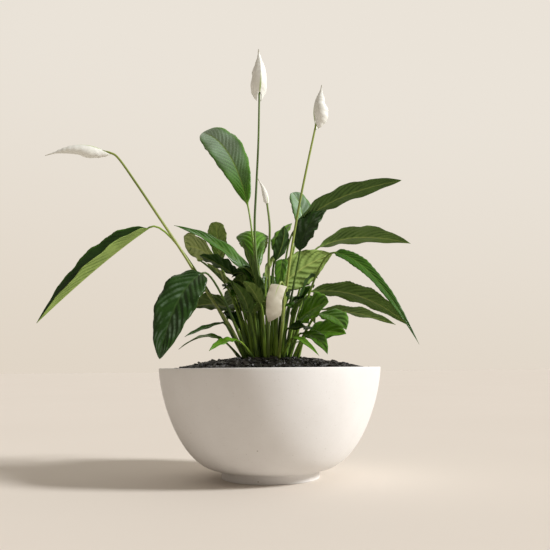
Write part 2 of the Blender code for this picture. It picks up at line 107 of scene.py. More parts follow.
# Name, route of the stalk from the crown up, tip of the spathe, its width,
# how far it wraps round in degrees, and the side its midrib faces.
FLOWERS = [
    ("centre", [(-0.9, 0.0, 0.0), (-1.2, 0.0, 9.5), (-2.0, 0.0, 15.0), (-2.3, 0.0, 21.5),
                (-2.0, 0.0, 28.0), (-1.6, 0.0, 36.0), (-1.4, 0.0, 44.4)],
     (-1.5, 0.4, 52.0), 2.7, 250, (0.28, -0.96, 0.0)),
    ("right", [(1.4, -2.0, 0.0), (2.4, -3.4, 8.0), (3.3, -4.0, 15.0), (4.7, -4.0, 23.0),
               (6.2, -4.0, 30.2), (7.9, -4.0, 37.8)],
     (8.8, -4.0, 43.8), 2.5, 250, (-0.9, -0.4, 0.0)),
    ("left", [(-3.6, -1.5, 0.0), (-6.2, -2.7, 5.0), (-9.8, -4.0, 10.4), (-13.3, -5.4, 16.2),
              (-17.8, -6.0, 23.0), (-20.6, -6.0, 27.2), (-23.4, -6.0, 31.2), (-24.8, -6.0, 32.2),
              (-26.4, -6.0, 32.5)],
     (-35.0, -6.0, 31.8), 2.1, 250, (0.0, -0.5, 0.85)),
    ("bud", [(-0.2, -3.6, 0.0), (0.0, -5.4, 8.0), (0.0, -6.0, 15.0), (0.2, -6.0, 20.0),
             (-0.2, -6.0, 24.0)],
     (-1.6, -6.0, 27.8), 0.9, 300, (0.6, -0.8, 0.0)),
    ("spent", [(1.4, -4.8, 0.0), (2.0, -7.4, 5.0), (2.3, -9.0, 9.6), (1.9, -10.2, 11.0),
               (1.4, -10.8, 10.1)],
     (0.9, -11.4, 5.3), 2.4, 44, (0.0, -1.0, 0.0)),
]

# Brightness, painted sheen and yellowness of each leaf, all from 0 to 1.
# Brightness is partly each leaf's own green and partly painted light and shade.
DARK = (0.05, 0.06, 0.15)
DEEP = (0.30, 0.05, 0.28)
MIDDLE = (0.50, 0.00, 0.12)
FRESH = (0.60, 0.00, 0.45)
BRIGHT = (0.90, 0.00, 0.60)
BROAD_SHEEN = (0.80, 1.00, 0.25)
OLIVE = (0.85, 0.10, 0.80)
SHEEN = (0.05, 0.42, 0.15)
PALE = (1.00, 0.00, 0.45)
TONES = {
    "top_left_tall": BROAD_SHEEN, "right_back_blue": BROAD_SHEEN, "left_droop": SHEEN, "far_left_arch": PALE,
    "left_back_round": OLIVE, "left_mid_pale": OLIVE, "left_mid_dark": DARK,
    "left_long_narrow": (0.5, 0.45, 0.2), "centre_back": BRIGHT, "centre_pale": OLIVE,
    "centre_pointed": DARK, "right_dark_gloss": SHEEN, "right_high": (0.48, 0.00, 0.15),
    "right_upper_long": (0.30, 0.0, 0.15), "right_pale_wide": PALE, "right_droop": MIDDLE,
    "right_mid": MIDDLE, "right_low": MIDDLE, "low_right_top": BRIGHT, "low_right_front": FRESH,
    "low_right_side": BRIGHT, "low_right_hang": FRESH, "inner_bright": FRESH,
    "inner_pale": BRIGHT, "left_inner_olive": OLIVE, "inner_hanging": FRESH,
    "low_left_side": OLIVE, "low_left_hang": BRIGHT, "low_left_front": DARK,
    "low_left_back": (0.35, 0.0, 0.4), "low_right_thin": OLIVE,
}
# Leaves whose upper side is much darker than the underside that shows beside it: the top's own
# darker green deepened with painted shade.
TOP_TONES = {"far_left_arch": DARK}
# Stalk brightness is partly each stalk's own green and partly painted light and shade.
STALK_TONES = {"centre": (0.15, 0.0, 0.0), "right": (0.85, 0.0, 0.6), "left": (0.70, 0.0, 0.8),
               "bud": (0.35, 0.0, 0.3), "spent": (0.80, 0.0, 0.5)}
# Blades with flatter pillows between their veins than the rest.
RELIEFS = {"far_left_arch": 0.3, "top_left_tall": 0.75}
# Fine frilling of the margin, as a share of the half width.
RUFFLES = {"right_droop": 0.035, "right_mid": 0.020, "right_low": 0.025, "centre_back": 0.020}
# Turn of the blade about its midrib from neck to tip, in degrees.
TWISTS = {"right_upper_long": 35, "right_mid": 10}

# What a blade has unless SHOULDERS, TIPS, FOLDS or RUFFLES says otherwise.
BLADE_RISE = 0.75
BLADE_FALL = 1.00
BLADE_FOLD = 0.30
BLADE_RUFFLE = 0.006
# The same for every blade.
BLADE_THICKNESS = 0.55 * MM
VEIN_SPACING = 15 * MM
PILLOW_HEIGHT = 1.8 * MM
# Leaves leave the mulch within CLUMP_RADIUS, and farther out the more they lean.
CLUMP_RADIUS = 46 * MM
CLUMP_SPREAD = 80 * MM
# Stems start this far down in the mulch.
ROOTED = 2 * MM
PETIOLE_RADIUS = 2.1 * MM
SHEATH_RADIUS = 3.4 * MM
NECK_RADIUS = 1.4 * MM
STALK_RADIUS = 2.1 * MM
STALK_RIBS = 11
SPATHE_THICKNESS = 0.5 * MM
SPATHE_RIBS = 26
LOBE_SHARE = 0.17

# How finely leaves are meshed.
PETIOLE_RINGS = 14
RING_SPACING = 1.6 * MM
# Longer blades than this get more points across.
BIG_BLADE = 0.13

LEAF_SEED = 4100
YOUNG_SEED = 77
YOUNG_LEAVES = 33
# Young leaves are numbered from here, so their dice differ.
YOUNG_FIRST = 100
GOLDEN_TURN = 0.382
CHIP_SEED = 90
CHIP_GROUPS = 3
CHIPS_IN_GROUP = 560
# A chip has two layers of five by three points.
CHIP_ALONG = 5
CHIP_ACROSS = 3
CHIP_LAYER = CHIP_ALONG * CHIP_ACROSS

bowl_low, bowl_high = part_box("planter_bowl")
_, mulch_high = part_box("bark_mulch")
CROWN_Z = mulch_high[2]
RIM_Z = bowl_high[2]
RIM_RADIUS = (bowl_high[0] - bowl_low[0]) / 2
MULCH_DROP = 7 * MM
MULCH_RISE = CROWN_Z - (RIM_Z - MULCH_DROP)
MULCH_RADIUS = RIM_RADIUS - 10 * MM
FOOT_TOP = 14 * MM
FOOT_RADIUS = 76.5 * MM
BELLY_RADIUS = 79.5 * MM


# --- node helpers

def new_material(name):
    made = bpy.data.materials.new(name)
    made.use_nodes = True
    return made, made.node_tree, made.node_tree.nodes["Principled BSDF"]


def put(tree, socket, value):
    if isinstance(value, bpy.types.NodeSocket):
        tree.links.new(value, socket)
    elif socket.type == "RGBA":
        socket.default_value = (*value, 1.0)
    else:
        socket.default_value = value


def maths(tree, operation, a, b=0.0, clamp=False):
    made = tree.nodes.new("ShaderNodeMath")
    made.operation = operation
    made.use_clamp = clamp
    put(tree, made.inputs[0], a)
    put(tree, made.inputs[1], b)
    return made.outputs[0]


def times(tree, a, b):
    return maths(tree, "MULTIPLY", a, b)


def line(tree, value, slope, start):
    """value * slope + start, where start may be a socket."""
    made = maths(tree, "MULTIPLY_ADD", value, slope)
    put(tree, made.node.inputs[2], start)
    return made


def inverse(tree, share):
    return maths(tree, "SUBTRACT", 1.0, share)


def off_middle(tree, value):
    """How far a value from 0 to 1 lies from one half."""
    return maths(tree, "ABSOLUTE", maths(tree, "SUBTRACT", value, 0.5))


def ramp(tree, value, low, high):
    """0 below low, 1 above high, smooth between."""
    made = tree.nodes.new("ShaderNodeMapRange")
    made.interpolation_type = "SMOOTHSTEP"
    put(tree, made.inputs["Value"], value)
    made.inputs["From Min"].default_value = low
    made.inputs["From Max"].default_value = high
    return made.outputs[0]


def mix(tree, share, first, second, blend="MIX"):
    made = tree.nodes.new("ShaderNodeMix")
    made.data_type = "RGBA"
    made.blend_type = blend
    put(tree, made.inputs["Factor"], share)
    put(tree, made.inputs["A"], first)
    put(tree, made.inputs["B"], second)
    return made.outputs["Result"]


def grain(tree, scale, detail=4.0, roughness=0.5, vector=None, distortion=0.0):
    made = tree.nodes.new("ShaderNodeTexNoise")
    made.inputs["Scale"].default_value = scale
    made.inputs["Detail"].default_value = detail
    made.inputs["Roughness"].default_value = roughness
    made.inputs["Distortion"].default_value = distortion
    tree.links.new(vector or position(tree), made.inputs["Vector"])
    return made.outputs["Fac"]


def cells(tree, scale):
    """A cell texture's distance to its centre, and a random colour for each cell."""
    made = tree.nodes.new("ShaderNodeTexVoronoi")
    made.inputs["Scale"].default_value = scale
    tree.links.new(position(tree), made.inputs["Vector"])
    return made.outputs["Distance"], made.outputs["Color"]


def stretched(tree, scale):
    """Object position scaled by a factor for each axis."""
    made = tree.nodes.new("ShaderNodeMapping")
    tree.links.new(position(tree), made.inputs["Vector"])
    made.inputs["Scale"].default_value = scale
    return made.outputs[0]


def channels(tree, colours):
    split = tree.nodes.new("ShaderNodeSeparateColor")
    tree.links.new(colours, split.inputs[0])
    return split.outputs


def position(tree):
    found = tree.nodes.get("Place")
    if found is None:
        found = tree.nodes.new("ShaderNodeTexCoord")
        found.name = "Place"
    return found.outputs["Object"]


def map_axes(tree, name):
    uv = tree.nodes.new("ShaderNodeUVMap")
    uv.uv_map = name
    split = tree.nodes.new("ShaderNodeSeparateXYZ")
    tree.links.new(uv.outputs[0], split.inputs[0])
    return split.outputs[0], split.outputs[1]


def bumped(tree, shader, height, strength, distance):
    made = tree.nodes.new("ShaderNodeBump")
    made.inputs["Strength"].default_value = strength
    made.inputs["Distance"].default_value = distance
    tree.links.new(height, made.inputs["Height"])
    tree.links.new(made.outputs[0], shader.inputs["Normal"])


def painted(tree, shader, base, roughness):
    put(tree, shader.inputs["Base Color"], base)
    put(tree, shader.inputs["Roughness"], roughness)


def add_object(name, data):
    made = bpy.data.objects.new(name, data)
    bpy.context.scene.collection.objects.link(made)
    return made


# --- materials

def leaf_lines(tree):
    """Masks that follow the blade, by name; across and along run from 0 to 1."""
    across, along = map_axes(tree, "leaf")
    phase, _ = map_axes(tree, "veins")
    phase = maths(tree, "ADD", phase, times(tree, grain(tree, 34.0, 2.0), 0.45))
    off = off_middle(tree, across)
    saw = off_middle(tree, maths(tree, "FRACT", phase))
    threads = off_middle(tree, maths(tree, "FRACT", times(tree, phase, 5.0)))
    return {
        "across": across,
        "along": along,
        "off": off,
        "saw": saw,
        "veins": ramp(tree, saw, 0.26, 0.50),
        "threads": ramp(tree, threads, 0.15, 0.50),
        "midrib": inverse(tree, ramp(tree, off, 0.012, 0.040)),
        "petiole": inverse(tree, ramp(tree, along, -0.02, 0.07)),
        "margin": ramp(tree, off, 0.485, 0.5),
    }


def vertex_tone(tree):
    """Brightness, painted sheen and yellowness of a leaf or stalk, brightness partly painted light
    and shade; bark has brightness alone.
    """
    made = tree.nodes.new("ShaderNodeAttribute")
    made.attribute_name = "tone"
    return channels(tree, made.outputs["Color"])


def streaks(tree, across, along):
    """Long fine streaks up a petiole or stalk."""
    joined = tree.nodes.new("ShaderNodeCombineXYZ")
    put(tree, joined.inputs[0], times(tree, across, 9.0))
    put(tree, joined.inputs[1], times(tree, along, 2.5))
    return ramp(tree, grain(tree, 1.6, 3.0, 0.5, joined.outputs[0]), 0.35, 0.68)


def petiole_colour(tree, across, along, bright):
    """Green stems; low down some stand in light and some in shade."""
    streak = streaks(tree, across, along)
    dark = mix(tree, streak, (0.030, 0.065, 0.010), (0.070, 0.125, 0.018))
    fresh = mix(tree, streak, (0.200, 0.330, 0.035), (0.320, 0.460, 0.065))
    high = mix(tree, bright, dark, fresh)
    stand = stretched(tree, (1.0, 1.0, 0.05))
    lit = ramp(tree, grain(tree, 95.0, 2.0, 0.5, stand), 0.40, 0.60)
    shaded = mix(tree, streak, (0.014, 0.036, 0.006), (0.060, 0.115, 0.016))
    sunny = mix(tree, streak, (0.135, 0.240, 0.022), (0.290, 0.440, 0.055))
    low = mix(tree, lit, shaded, sunny)
    return mix(tree, ramp(tree, along, -0.80, -0.20), low, high)


def blade_greens(tree, bright, yellow, under):
    """Colours of the blade and its midrib, from a dark green with painted shade to a lit one with
    painted light; undersides get a painted glow.
    """
    if under:
        dark_and_shaded = mix(tree, yellow, (0.025, 0.075, 0.010), (0.075, 0.130, 0.018))
        lit = mix(tree, yellow, (0.330, 0.540, 0.090), (0.490, 0.550, 0.220))
        vein = mix(tree, bright, (0.14, 0.20, 0.03), (0.50, 0.60, 0.17))
        return mix(tree, maths(tree, "POWER", bright, 1.5), dark_and_shaded, lit), vein
    dark_and_shaded = mix(tree, yellow, (0.013, 0.044, 0.005), (0.030, 0.078, 0.005))
    lit = mix(tree, yellow, (0.080, 0.250, 0.014), (0.165, 0.360, 0.012))
    vein = mix(tree, bright, (0.03, 0.07, 0.015), (0.24, 0.38, 0.06))
    return mix(tree, bright, dark_and_shaded, lit), vein


def tinted(tree, base, tint):
    return mix(tree, 1.0, base, tint, "MULTIPLY")


def with_veins(tree, blade, lines, painted_sheen, under):
    """Darkens the fine threads, and paints shade into the grooves between the pillows."""
    threads = times(tree, lines["threads"], 0.75 if under else 0.35)
    blade = mix(tree, threads, blade, tinted(tree, blade, (0.62, 0.70, 0.52)))
    uneven = ramp(tree, grain(tree, 30.0, 2.0), 0.30, 0.65)
    faint = line(tree, times(tree, painted_sheen, painted_sheen), -0.75, 1.0)
    # Painted shade in the grooves at the lateral veins, fainter on leaves with much painted sheen.
    depth = times(tree, times(tree, lines["veins"], uneven), faint)
    return mix(tree, depth, blade, tinted(tree, blade, (0.42, 0.50, 0.34)))


def with_painted_sheen(tree, blade, lines, painted_sheen):
    """The grey-green painted sheen: stripes on the pillows, or nearly all of a leaf with strong
    sheen.
    """
    stripe = inverse(tree, ramp(tree, lines["saw"], 0.12, 0.42))
    stripe = maths(tree, "MAXIMUM", stripe, line(tree, painted_sheen, 1.6, -0.9))
    inner = inverse(tree, ramp(tree, lines["off"], 0.30, 0.52))
    outer_end = ramp(tree, lines["along"], 0.08, 0.62)
    cover = times(tree, times(tree, stripe, painted_sheen), times(tree, inner, outer_end))
    patches = line(tree, painted_sheen, 0.5, grain(tree, 42.0, 3.0, 0.6))
    cover = times(tree, cover, ramp(tree, patches, 0.62, 0.92))
    cover = maths(tree, "MULTIPLY", cover, 0.90, clamp=True)
    return mix(tree, cover, blade, (0.33, 0.45, 0.33))


def leaf_material(name, under):
    made, tree, shader = new_material(name)
    lines = leaf_lines(tree)
    bright, painted_sheen, yellow = vertex_tone(tree)
    patch = ramp(tree, grain(tree, 38.0, 5.0, 0.6), 0.30, 0.72)
    blade, vein = blade_greens(tree, bright, yellow, under)
    blade = mix(tree, patch, tinted(tree, blade, (0.70, 0.74, 0.66)), blade)
    blade = with_veins(tree, blade, lines, painted_sheen, under)
    if not under:
        blade = with_painted_sheen(tree, blade, lines, painted_sheen)
    blade = mix(tree, times(tree, lines["midrib"], 0.70), blade, vein)
    blade = mix(tree, times(tree, lines["margin"], 0.45), blade, (0.20, 0.24, 0.06))
    stem = petiole_colour(tree, lines["across"], lines["along"], bright)
    base = mix(tree, lines["petiole"], blade, stem)
    painted(tree, shader, base, line(tree, patch, 0.10, 0.55 if under else 0.26))
    shader.inputs["Specular IOR Level"].default_value = 0.25 if under else 0.32
    relief = maths(tree, "ADD", times(tree, lines["threads"], 0.8), grain(tree, 500.0, 3.0))
    bumped(tree, shader, relief, 0.12, 0.0002)
    return made


def stalk_material():
    made, tree, shader = new_material("stalk_green")
    around, along = map_axes(tree, "leaf")
    bright, _, yellow = vertex_tone(tree)
    streak = streaks(tree, around, along)
    dark = mix(tree, streak, (0.035, 0.075, 0.014), (0.110, 0.190, 0.030))
    green = mix(tree, streak, (0.170, 0.270, 0.040), (0.330, 0.450, 0.100))
    warm = mix(tree, streak, (0.200, 0.240, 0.035), (0.400, 0.440, 0.085))
    fresh = mix(tree, yellow, green, warm)
    painted(tree, shader, mix(tree, bright, dark, fresh), 0.42)
    ribs = maths(tree, "SINE", times(tree, around, math.tau * STALK_RIBS))
    bumped(tree, shader, ribs, 0.12, 0.0002)
    return made


def spathe_material(name, white, shade, roughness):
    made, tree, shader = new_material(name)
    across, along = map_axes(tree, "leaf")
    off = off_middle(tree, across)
    lines = maths(tree, "SINE", times(tree, across, math.tau * SPATHE_RIBS))
    cloud = ramp(tree, grain(tree, 55.0, 5.0, 0.6), 0.30, 0.75)
    base = mix(tree, cloud, shade, white)
    ribs = times(tree, ramp(tree, lines, 0.2, 1.0), 0.10)
    base = mix(tree, ribs, base, (0.62, 0.66, 0.42))
    keel = inverse(tree, ramp(tree, off, 0.008, 0.035))
    low = inverse(tree, ramp(tree, along, 0.04, 0.55))
    base = mix(tree, times(tree, keel, low), base, (0.34, 0.46, 0.12))
    end = times(tree, ramp(tree, along, 0.84, 0.97), 0.80)
    base = mix(tree, end, base, (0.36, 0.33, 0.23))
    painted(tree, shader, base, roughness)
    relief = maths(tree, "ADD", times(tree, lines, 0.25), grain(tree, 160.0, 3.0))
    bumped(tree, shader, relief, 0.25, 0.0006)
    return made


def spadix_material():
    made, tree, shader = new_material("spadix_cream")
    distance, _ = cells(tree, 620.0)
    edge = ramp(tree, distance, 0.15, 0.60)
    base = mix(tree, edge, (0.80, 0.76, 0.48), (0.55, 0.56, 0.22))
    painted(tree, shader, base, 0.65)
    bumped(tree, shader, inverse(tree, distance), 0.8, 0.0006)
    return made


def bowl_material():
    made, tree, shader = new_material("bowl_cast_stone")
    cloud = ramp(tree, grain(tree, 7.0, 6.0, 0.62), 0.30, 0.72)
    base = mix(tree, cloud, (0.735, 0.715, 0.690), (0.800, 0.785, 0.765))
    speck = ramp(tree, grain(tree, 420.0, 3.0), 0.64, 0.74)
    base = mix(tree, times(tree, speck, 0.30), base, (0.50, 0.46, 0.41))
    distance, lottery = cells(tree, 62.0)
    chosen = ramp(tree, channels(tree, lottery)[0], 0.86, 0.88)
    spot = inverse(tree, ramp(tree, distance, 0.035, 0.075))
    pit = times(tree, chosen, spot)
    base = mix(tree, times(tree, pit, 0.75), base, (0.30, 0.25, 0.20))
    painted(tree, shader, base, line(tree, cloud, 0.12, 0.62))
    fine = times(tree, grain(tree, 650.0, 4.0, 0.6), 0.20)
    broad = times(tree, grain(tree, 45.0, 4.0), 0.55)
    relief = maths(tree, "SUBTRACT", maths(tree, "ADD", fine, broad), pit)
    bumped(tree, shader, relief, 0.45, 0.0007)
    return made


def bark_material():
    made, tree, shader = new_material("bark_dark")
    fibre = stretched(tree, (1.0, 4.0, 2.0))
    strand = grain(tree, 210.0, 6.0, 0.65, fibre, 0.4)
    light = vertex_tone(tree)[0]
    dark = mix(tree, light, (0.004, 0.0035, 0.003), (0.020, 0.015, 0.012))
    base = mix(tree, ramp(tree, strand, 0.40, 0.80), dark, (0.024, 0.018, 0.014))
    painted(tree, shader, base, 0.40)
    relief = maths(tree, "ADD", strand, times(tree, grain(tree, 800.0, 3.0), 0.4))
    bumped(tree, shader, relief, 0.8, 0.0010)
    return made


def soil_material():
    made, tree, shader = new_material("soil_crumb")
    crumb = grain(tree, 320.0, 8.0, 0.7)
    base = mix(tree, ramp(tree, crumb, 0.35, 0.70), (0.018, 0.013, 0.010),
               (0.075, 0.055, 0.040))
    painted(tree, shader, base, 0.95)
    bumped(tree, shader, crumb, 1.0, 0.002)
    return made


LEAF_TOP = leaf_material("leaf_top", False)
LEAF_UNDER = leaf_material("leaf_under", True)
STALK = stalk_material()
SPATHE = spathe_material("spathe_white", (0.88, 0.88, 0.84), (0.80, 0.80, 0.73), 0.45)
SPENT = spathe_material("spathe_papery", (0.68, 0.65, 0.54), (0.52, 0.48, 0.37), 0.60)
SPADIX = spadix_material()


# --- mesh helpers

def ease(x):
    x = min(1.0, max(0.0, x))
    return x * x * (3 - 2 * x)


def make_piece(name, points, faces, materials, node=None):
    mesh = bpy.data.meshes.new(name)
    mesh.from_pydata(points, [], faces)
    for surface in materials:
        mesh.materials.append(surface)
    mesh.shade_smooth()
    piece = add_object(name, mesh)
    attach(piece, "root")
    if node:
        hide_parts(node)
    return piece


def add_map(mesh, name, values):
    """A UV map from one (x, y) pair for each vertex."""
    layer = mesh.uv_layers.new(name=name)
    for loop in mesh.loops:
        layer.data[loop.index].uv = values[loop.vertex_index]


def add_tones(mesh, tones):
    """The colour attribute named tone, from one triple for each vertex."""
    layer = mesh.color_attributes.new(name="tone", type="FLOAT_COLOR", domain="POINT")
    for value, tone in zip(layer.data, tones):
        value.color = (*tone, 1.0)


def wall_faces(rings, sides, flip=False):
    """Quads between rings of points; flip turns them to face the other way."""
    faces = []
    for ring in range(rings):
        for k in range(sides):
            a = ring * sides + k
            b = ring * sides + (k + 1) % sides
            faces.append((a, a + sides, b + sides, b) if flip else (a, b, b + sides, a + sides))
    return faces


def end_caps(rings, sides):
    """The two faces that close a tube."""
    return [tuple(range(sides - 1, -1, -1)), tuple(range(rings * sides, (rings + 1) * sides))]


def place(spot):
    return Vector((spot[0] * CM, spot[1] * CM, spot[2] * CM + CROWN_Z))


def mulch_height(radius):
    share = min(1.0, radius / MULCH_RADIUS)
    return CROWN_Z - MULCH_RISE * share ** 2


# --- leaves

def foot_of(neck):
    """Where a leaf leaves the clump: towards its neck, farther out the more it leans."""
    reach = math.hypot(neck.x, neck.y)
    lean = reach / (reach + neck.z - CROWN_Z)
    out = Vector((neck.x, neck.y, 0.0)).normalized() * min(CLUMP_RADIUS, CLUMP_SPREAD * lean)
    return Vector((out.x, out.y, mulch_height(out.length) - ROOTED))


def blade_point(neck, middle, tip, t):
    return (neck * (1 - t) * (1 - 2 * t)) + (middle * 4 * t * (1 - t)) + (tip * t * (2 * t - 1))


def petiole_point(foot, bend, blend, neck, t):
    s = 1 - t
    return foot * s ** 3 + bend * 3 * s * s * t + blend * 3 * s * t * t + neck * t ** 3


def blade_half_width(name, width, t):
    rise = SHOULDERS.get(name, BLADE_RISE)
    fall = TIPS.get(name, BLADE_FALL)
    widest = rise / (rise + fall)
    peak = widest ** rise * (1 - widest) ** fall
    return width / 2 * t ** rise * max(0.0, 1 - t) ** fall / peak


def leaf_centres(neck, middle, tip, blade_rings):
    """Centres and places along: -1 to 0 up the petiole, 0 to 1 along the blade."""
    foot = foot_of(neck)
    length = (neck - foot).length
    start = (blade_point(neck, middle, tip, 0.05) - neck).normalized()
    bend = foot + (neck - foot) * 0.3 + Vector((0, 0, length * 0.10))
    blend = neck - start * length * 0.14
    centres = []
    for i in range(PETIOLE_RINGS):
        t = i / PETIOLE_RINGS
        centres.append((petiole_point(foot, bend, blend, neck, t), t - 1))
    for i in range(blade_rings + 1):
        t = i / blade_rings
        t = t * (1 - 0.25 * (1 - t) * (1 - 2 * abs(t - 0.5)))
        centres.append((blade_point(neck, middle, tip, t), t))
    return centres


class LeafShape:
    """Relief of one blade: fold, wavy margin, pillows between veins, and midrib."""

    def __init__(self, index, name, length, width):
        dice = random.Random(LEAF_SEED + index)
        self.name = name
        self.fold = FOLDS.get(name, BLADE_FOLD)
        self.ruffle = RUFFLES.get(name, BLADE_RUFFLE)
        self.width = width
        self.veins = max(5, round(length / VEIN_SPACING))
        self.sweep = 0.16 + 0.35 * width / length
        relief = RELIEFS.get(name, 1.0)
        self.pillow = min(PILLOW_HEIGHT, 0.038 * width) * relief
        self.wave = dice.uniform(0.07, 0.13) * (0.5 + 0.5 * relief)
        self.wave_count = dice.uniform(2.6, 4.2)
        self.wave_phase = [dice.uniform(0, math.tau), dice.uniform(0, math.tau)]
        self.rim_phase = [dice.uniform(0, math.tau), dice.uniform(0, math.tau)]

    def phase(self, u, s):
        """Counts the lateral veins, which sweep forward to the margin."""
        return self.veins * (s - self.sweep * abs(u) ** 1.25)

    def half(self, u, s):
        """Half width with a rippled and frilled margin."""
        side = 0 if u < 0 else 1
        turns = math.tau * self.wave_count * s
        ripple = 0.022 * math.sin(2.3 * turns + self.rim_phase[side])
        ripple += self.ruffle * math.sin(7.1 * turns + self.rim_phase[1 - side])
        return blade_half_width(self.name, self.width, s) * (1 + ripple * abs(u))

    def lift(self, u, s, half):
        """Height of the blade's middle sheet above its midrib."""
        side = 0 if u < 0 else 1
        fold = self.fold * abs(u) ** (1.4 if self.fold < 1 else 1.15) * half
        droop = -0.10 * abs(u) ** 4 * half
        swing = math.sin(math.tau * self.wave_count * s + self.wave_phase[side])
        wave = self.wave * half * abs(u) ** 2.2 * swing
        bed = max(0.0, math.sin(math.pi * min(1.0, abs(u)) ** 0.8)) ** 0.8
        fade = ease(s / 0.08) * ease((1 - s) / 0.12)
        pillow = self.pillow * bed * fade * abs(math.sin(math.pi * self.phase(u, s)))
        return fold + droop + wave + pillow


def leaf_ring(shape, columns, s, centre, side, normal):
    """Points once round a leaf: along the top from right to left, back underneath."""
    points = []
    maps = []
    flat = ease((s + 0.005) / 0.075) if s > 0 else 0.0
    for k in range(2 * columns):
        angle = math.pi * k / columns
        top = k <= columns
        step = 1 - 2 * k / columns if top else -1 + 2 * (k - columns) / columns
        u = math.copysign(abs(step) ** 1.45, step)
        if s < 0:
            radius = petiole_radius(s)
        else:
            radius = NECK_RADIUS * (1 - s) ** 0.8 + 0.12 * MM
        half = max(shape.half(u, max(0.0, s)), radius * 0.6)
        x_blade = half * u
        rib = radius * math.exp(-(x_blade / (1.25 * radius)) ** 2)
        skin = BLADE_THICKNESS / 2 * (1 - abs(u) ** 6)
        if top:
            z_blade = shape.lift(u, max(0.0, s), half) + skin + rib * 0.15
        else:
            z_blade = shape.lift(u, max(0.0, s), half) - skin - rib
        x = radius * math.cos(angle) * (1 - flat) + x_blade * flat
        z = radius * math.sin(angle) * (1 - flat) + z_blade * flat
        points.append(centre + side * x + normal * z)
        maps.append(((u + 1) / 2, s, shape.phase(u, max(0.0, s))))
    return points, maps


def petiole_radius(s):
    """Sheathing at the bottom, slim towards the neck; s runs from -1 to 0."""
    t = s + 1
    slim = PETIOLE_RADIUS + (NECK_RADIUS - PETIOLE_RADIUS) * t
    return slim + (SHEATH_RADIUS - PETIOLE_RADIUS) * (1 - ease(t / 0.55))


def leaf_skin(name, neck, middle, tip, roll, columns, shape, blade_rings):
    """Rings of points from the foot to the tip, with their map values."""
    centres = leaf_centres(neck, middle, tip, blade_rings)
    heading = Vector((tip.x - neck.x, tip.y - neck.y, 0.0)).normalized()
    across = Vector((heading.y, -heading.x, 0.0))
    twist = TWISTS.get(name, 0)
    points = []
    maps = []
    last = len(centres) - 1
    for i, (centre, s) in enumerate(centres):
        tangent = (centres[min(i + 1, last)][0] - centres[max(i - 1, 0)][0]).normalized()
        side = (across - tangent * across.dot(tangent)).normalized()
        turn = roll + twist * max(0.0, s)
        side = Matrix.Rotation(math.radians(-turn), 3, tangent) @ side
        ring, ring_maps = leaf_ring(shape, columns, s, centre, side, side.cross(tangent))
        points += ring
        maps += ring_maps
    return points, maps, last


def leaf_faces(rings, columns):
    """Faces of a leaf, cut along the same diagonals on both sides, and which are on top."""
    around = 2 * columns
    faces = end_caps(rings, around)
    on_top = [False, False]
    for ring in range(rings):
        for k in range(around):
            a = ring * around + k
            b = ring * around + (k + 1) % around
            if k < columns:
                faces += [(a, b, b + around), (a, b + around, a + around)]
            else:
                faces += [(a, b, a + around), (b, b + around, a + around)]
            on_top += [k < columns] * 2
    return faces, on_top


def build_leaf(index, entry, tone, node=True):
    name, neck, middle, tip, width, roll = entry
    neck, middle, tip, width = place(neck), place(middle), place(tip), width * CM
    length = (middle - neck).length + (tip - middle).length
    blade_rings = round(min(124, max(44, length / RING_SPACING)))
    columns = 26 if length > BIG_BLADE else 18
    shape = LeafShape(index, name, length, width)
    points, maps, rings = leaf_skin(name, neck, middle, tip, roll, columns, shape, blade_rings)
    faces, on_top = leaf_faces(rings, columns)
    piece = make_piece("look_leaf_" + name, points, faces, [LEAF_TOP, LEAF_UNDER],
                       "leaf_" + name if node else None)
    mesh = piece.data
    for face, top in zip(mesh.polygons, on_top):
        face.material_index = 0 if top else 1
    add_map(mesh, "leaf", [(m[0], m[1]) for m in maps])
    add_map(mesh, "veins", [(m[2], m[1]) for m in maps])
    upper = TOP_TONES.get(name, tone)
    around = 2 * columns
    add_tones(mesh, [upper if 0 < i % around < columns and i // around >= PETIOLE_RINGS else tone
                     for i in range(len(points))])


def build_leaves():
    for index, entry in enumerate(LEAVES):
        build_leaf(index, entry, TONES.get(entry[0], DEEP))


def build_young_leaves():
    """Short leaves in the heart of the clump; each third one stands front left."""
    dice = random.Random(YOUNG_SEED)
    # Mostly dark tones: painted shade in the heart of the clump over the leaves' own greens.
    tones = [DARK, DEEP, FRESH, DARK, (0.4, 0.0, 0.5)]
    for index in range(YOUNG_LEAVES):
        angle = math.tau * (index * GOLDEN_TURN + dice.uniform(-0.06, 0.06))
        front_left = index % 3 == 2
        if front_left:
            angle = dice.uniform(math.radians(160), math.radians(265))
        reach = dice.uniform(2.6, 5.4)
        far = min(9.4, reach + dice.uniform(2.4, 4.6))
        height = dice.uniform(6.0, 11.0) if front_left else dice.uniform(4.0, 10.0)
        rise = dice.uniform(-0.4, 4.6)
        spots = []
        halfway = ((reach + far) / 2, height + rise * 0.75 + 0.6)
        for radius, z in ((reach, height), halfway, (far, height + rise)):
            turn = angle + dice.uniform(-0.15, 0.15)
            spots.append((radius * math.cos(turn), radius * math.sin(turn), z))
        width = dice.uniform(1.8, 3.0) + (0.9 if front_left else 0.0)
        entry = (f"young_{index:02d}", *spots, width, dice.uniform(-35, 35))
        build_leaf(YOUNG_FIRST + index, entry, tones[index % len(tones)], node=False)


# --- flowers

def smooth_route(points, per_span):
    """Catmull-Rom curve through the route's points."""
    ends = [points[0] * 2 - points[1]] + points + [points[-1] * 2 - points[-2]]
    route = []
    for i in range(1, len(ends) - 2):
        a, b, c, d = ends[i - 1:i + 3]
        for step in range(per_span):
            t = step / per_span
            route.append(0.5 * ((b * 2) + (c - a) * t + (a * 2 - b * 5 + c * 4 - d) * t ** 2
                                + (b * 3 - a - c * 3 + d) * t ** 3))
    return route + [points[-1]]


def stalk_path(route):
    points = [place(spot) for spot in route]
    points[0].z = mulch_height(math.hypot(points[0].x, points[0].y)) - ROOTED
    return smooth_route(points, 8)


